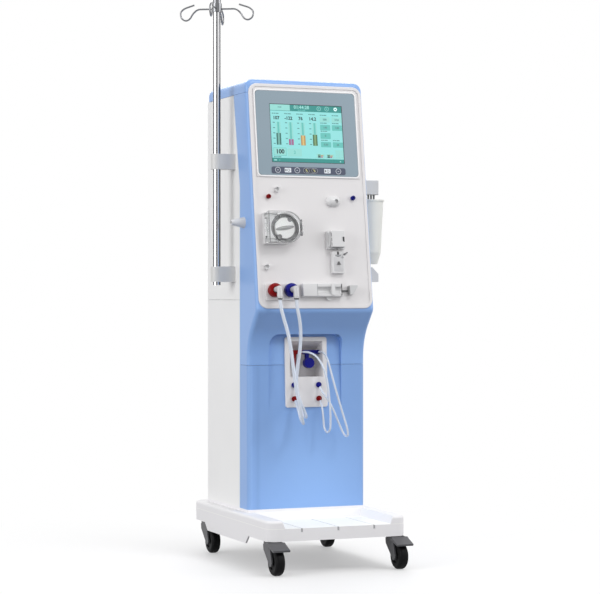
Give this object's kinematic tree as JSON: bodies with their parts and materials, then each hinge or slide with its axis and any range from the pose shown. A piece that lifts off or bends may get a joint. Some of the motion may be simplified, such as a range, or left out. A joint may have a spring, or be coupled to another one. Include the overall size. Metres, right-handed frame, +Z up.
{
  "type": "dialysis machine",
  "caption": "Haemodialysis machine on castors: sloped instrument panel with screen, blood pump, clamps, couplers and hoses, drip stand, cup and canister tray.",
  "frame": {"origin": "on the floor under the middle of the machine's outer box, hooks and cup included", "axes": "+Z up, -Y towards the user who faces the screen, +X to that user's right"},
  "size_m": [0.6176, 0.676, 1.65],
  "materials": {
    "white_shell": "satin moulded",
    "blue_shell": "satin moulded",
    "white_metal": "powder coat",
    "frame_steel": "zinc",
    "bezel_grey": "satin",
    "screen": "glossy, lit",
    "key_grey": "membrane",
    "red_plastic": "gloss",
    "dark_blue_plastic": "gloss",
    "instrument_white": "satin",
    "dark_plastic": "ribbed",
    "clear_plastic": "clear moulded",
    "cup_plastic": "translucent",
    "bracket_grey": "satin",
    "bright_steel": "polished",
    "caster_grey": "moulded",
    "tread": "polyurethane",
    "hose": "translucent silicone",
    "module": "plain"
  },
  "bodies": {
    "root": {"arterial_port": "red_plastic", "base_tray": "white_shell", "blood_pump_motor": "frame_steel", "blue_connector": "dark_blue_plastic", "blue_coupler": "dark_blue_plastic", "blue_hose": "hose", "blue_line_ports": "dark_blue_plastic", "blue_tube": "hose", "chassis_frame": "frame_steel", "clamp_body": "instrument_white", "concentrate_panel": "white_shell", "coupler_elbows": "instrument_white", "cup_brackets": "bracket_grey", "detector_body": "instrument_white", "front_panel": "white_shell", "hydraulic_module": "module", "iv_pole": "bright_steel", "key_strip": "key_grey", "lcd_screen": "screen", "left_side_panels": "white_metal", "line_holders": "instrument_white", "lower_front_cover": "blue_shell", "measuring_cup": "cup_plastic", "monitor_bezel": "bezel_grey", "pole_brackets": "bracket_grey", "power_supply": "frame_steel", "pump_housing": "instrument_white", "pump_raceway": "dark_plastic", "rear_connectors": "dark_plastic", "rear_cover": "white_metal", "red_connector": "red_plastic", "red_coupler": "red_plastic", "red_hose": "hose", "red_line_ports": "red_plastic", "red_tube": "hose", "right_side_panels": "white_metal", "syringe_pump_body": "instrument_white", "top_cap": "blue_shell", "upper_front_shell": "blue_shell", "venous_port": "dark_blue_plastic"},
    "hook_head": {"hook_head": "bright_steel"},
    "pump_rotor": {"pump_rotor": "instrument_white", "pump_grip": "bracket_grey"},
    "pump_roller_left": {"pump_roller_left": "bright_steel"},
    "pump_roller_right": {"pump_roller_right": "bright_steel"},
    "pump_cover": {"pump_cover": "clear_plastic"},
    "detector_door": {"detector_door": "instrument_white"},
    "clamp_plunger": {"clamp_plunger": "dark_plastic"},
    "syringe_pusher": {"syringe_pusher": "bracket_grey"},
    "syringe_clamp": {"syringe_clamp": "instrument_white"},
    "caster_fork_front_left": {"caster_fork_front_left": "caster_grey"},
    "caster_wheel_front_left": {"caster_wheel_front_left": "tread"},
    "brake_pedal_left": {"brake_pedal_left": "caster_grey"},
    "caster_fork_front_right": {"caster_fork_front_right": "caster_grey"},
    "caster_wheel_front_right": {"caster_wheel_front_right": "tread"},
    "brake_pedal_right": {"brake_pedal_right": "caster_grey"},
    "caster_fork_rear_left": {"caster_fork_rear_left": "caster_grey"},
    "caster_wheel_rear_left": {"caster_wheel_rear_left": "tread"},
    "caster_fork_rear_right": {"caster_fork_rear_right": "caster_grey"},
    "caster_wheel_rear_right": {"caster_wheel_rear_right": "tread"}
  },
  "joints": [
    {"name": "hook_head_swivel", "type": "hinge", "parent": "root", "child": "hook_head", "pos_m": [-0.2128, 0.061, 1.603], "axis": [0, 0, 1], "continuous": true},
    {"name": "pump_rotor_spin", "type": "hinge", "parent": "root", "child": "pump_rotor", "pos_m": [-0.0722, -0.11577, 0.96714], "axis": [0, -0.9902, 0.1397], "continuous": true},
    {"name": "pump_roller_left_spin", "type": "hinge", "parent": "pump_rotor", "child": "pump_roller_left", "pos_m": [-0.08854, -0.12127, 0.94251], "axis": [0, -0.9902, 0.1397], "continuous": true},
    {"name": "pump_roller_right_spin", "type": "hinge", "parent": "pump_rotor", "child": "pump_roller_right", "pos_m": [-0.05586, -0.11424, 0.99233], "axis": [0, -0.9902, 0.1397], "continuous": true},
    {"name": "pump_cover_hinge", "type": "hinge", "parent": "root", "child": "pump_cover", "pos_m": [-0.1317, -0.12964, 0.9691], "axis": [0, -0.1397, -0.9902], "range_deg": [0, 110]},
    {"name": "detector_door_hinge", "type": "hinge", "parent": "root", "child": "detector_door", "pos_m": [0.0669, -0.12284, 0.93784], "axis": [0, -0.1397, -0.9902], "range_deg": [0, 100]},
    {"name": "clamp_plunger_slide", "type": "slide", "parent": "root", "child": "clamp_plunger", "axis": [0, -0.9902, 0.1397], "range_m": [0, 0.003], "stiffness_N_per_m": 200},
    {"name": "syringe_pusher_slide", "type": "slide", "parent": "root", "child": "syringe_pusher", "axis": [1, 0, 0], "range_m": [-0.018, 0.042]},
    {"name": "syringe_clamp_slide", "type": "slide", "parent": "root", "child": "syringe_clamp", "axis": [0, -0.9902, 0.1397], "range_m": [0, 0.01], "stiffness_N_per_m": 60},
    {"name": "caster_swivel_front_left", "type": "hinge", "parent": "root", "child": "caster_fork_front_left", "pos_m": [-0.1652, -0.266, 0.092], "axis": [0, 0, 1], "continuous": true},
    {"name": "wheel_spin_front_left", "type": "hinge", "parent": "caster_fork_front_left", "child": "caster_wheel_front_left", "pos_m": [-0.1652, -0.297, 0.0375], "axis": [1, 0, 0], "continuous": true},
    {"name": "brake_pedal_left_hinge", "type": "hinge", "parent": "caster_fork_front_left", "child": "brake_pedal_left", "pos_m": [-0.1652, -0.286, 0.084], "axis": [1, 0, 0], "range_deg": [0, 6.5]},
    {"name": "caster_swivel_front_right", "type": "hinge", "parent": "root", "child": "caster_fork_front_right", "pos_m": [0.2088, -0.266, 0.092], "axis": [0, 0, 1], "continuous": true},
    {"name": "wheel_spin_front_right", "type": "hinge", "parent": "caster_fork_front_right", "child": "caster_wheel_front_right", "pos_m": [0.2088, -0.297, 0.0375], "axis": [1, 0, 0], "continuous": true},
    {"name": "brake_pedal_right_hinge", "type": "hinge", "parent": "caster_fork_front_right", "child": "brake_pedal_right", "pos_m": [0.2088, -0.286, 0.084], "axis": [1, 0, 0], "range_deg": [0, 6.5]},
    {"name": "caster_swivel_rear_left", "type": "hinge", "parent": "root", "child": "caster_fork_rear_left", "pos_m": [-0.1652, 0.262, 0.092], "axis": [0, 0, 1], "continuous": true},
    {"name": "wheel_spin_rear_left", "type": "hinge", "parent": "caster_fork_rear_left", "child": "caster_wheel_rear_left", "pos_m": [-0.1652, 0.231, 0.0375], "axis": [1, 0, 0], "continuous": true},
    {"name": "caster_swivel_rear_right", "type": "hinge", "parent": "root", "child": "caster_fork_rear_right", "pos_m": [0.2088, 0.262, 0.092], "axis": [0, 0, 1], "continuous": true},
    {"name": "wheel_spin_rear_right", "type": "hinge", "parent": "caster_fork_rear_right", "child": "caster_wheel_rear_right", "pos_m": [0.2088, 0.231, 0.0375], "axis": [1, 0, 0], "continuous": true}
  ]
}
